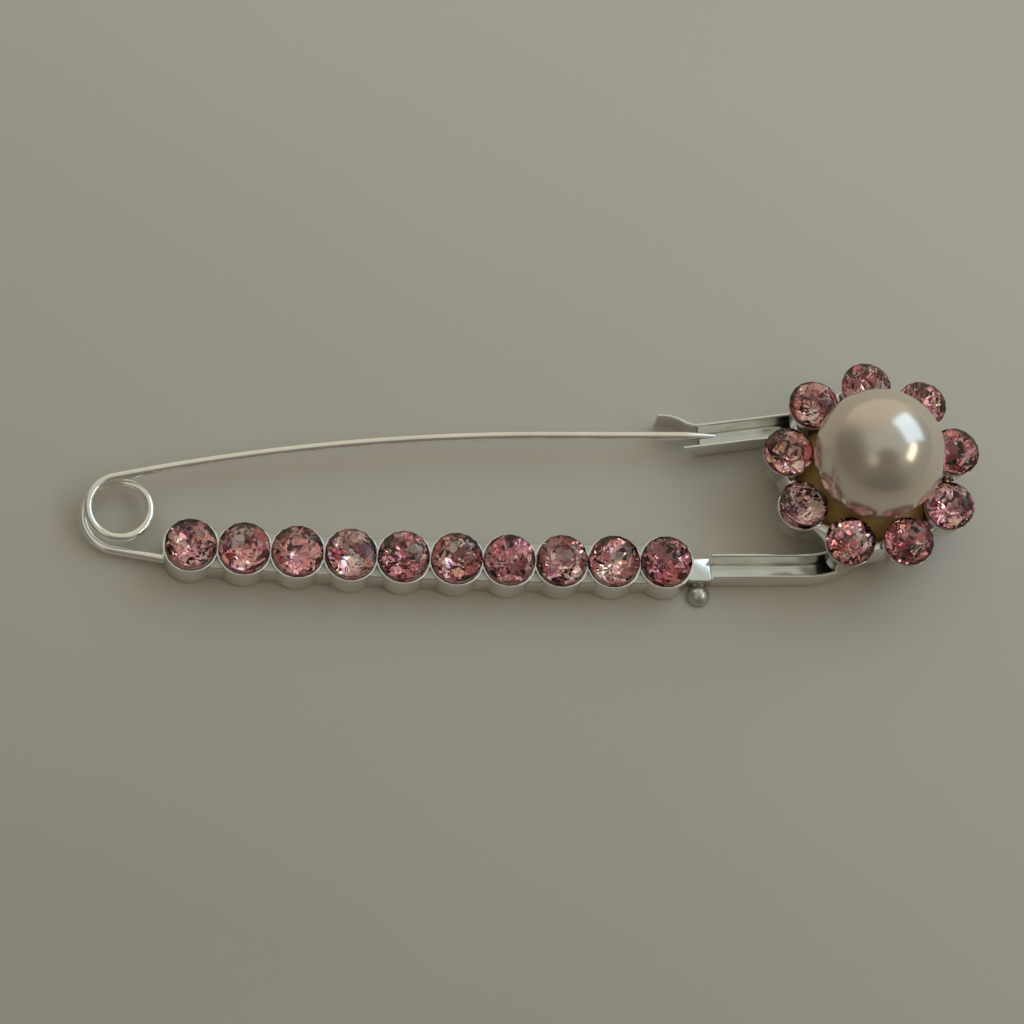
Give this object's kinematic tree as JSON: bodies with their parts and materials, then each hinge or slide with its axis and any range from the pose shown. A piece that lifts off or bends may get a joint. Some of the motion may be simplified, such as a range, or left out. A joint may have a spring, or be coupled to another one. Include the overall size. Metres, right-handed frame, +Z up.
{
  "type": "safety pin brooch",
  "caption": "Kilt-style safety pin brooch: a bar of cut stones in round cups, a coiled sprung pin, and a pearl flower over the catch.",
  "frame": {"origin": "under the middle of the whole brooch, on the surface that it lies on", "axes": "+X along the brooch from the coil to the pearl flower, +Y from the stone bar to the pin arm, +Z up from the surface, out of the brooch's face"},
  "size_m": [0.0692, 0.0182, 0.0129],
  "materials": {
    "silver_plate": "bright silver plate",
    "spring_wire": "bright plated wire",
    "rose_stone": "foil-backed cut glass",
    "pearl": "pearl lustre",
    "glue": "clear amber"
  },
  "bodies": {
    "brooch": {"frame": "silver_plate", "spring_coil": "spring_wire", "pearl": "pearl", "glue_bed": "glue", "bar_stone_1": "rose_stone", "bar_stone_2": "rose_stone", "bar_stone_3": "rose_stone", "bar_stone_4": "rose_stone", "bar_stone_5": "rose_stone", "bar_stone_6": "rose_stone", "bar_stone_7": "rose_stone", "bar_stone_8": "rose_stone", "bar_stone_9": "rose_stone", "bar_stone_10": "rose_stone", "flower_stone_1": "rose_stone", "flower_stone_2": "rose_stone", "flower_stone_3": "rose_stone", "flower_stone_4": "rose_stone", "flower_stone_5": "rose_stone", "flower_stone_6": "rose_stone", "flower_stone_7": "rose_stone", "flower_stone_8": "rose_stone", "flower_stone_9": "rose_stone"},
    "pin": {"pin_arm": "spring_wire"}
  },
  "joints": [
    {"name": "pin_lift", "type": "hinge", "parent": "brooch", "child": "pin", "pos_m": [-0.03201, 0.0009, 0.002], "axis": [0, -1, 0], "range_deg": [0, 14], "stiffness_Nm_per_rad": 0.003}
  ]
}
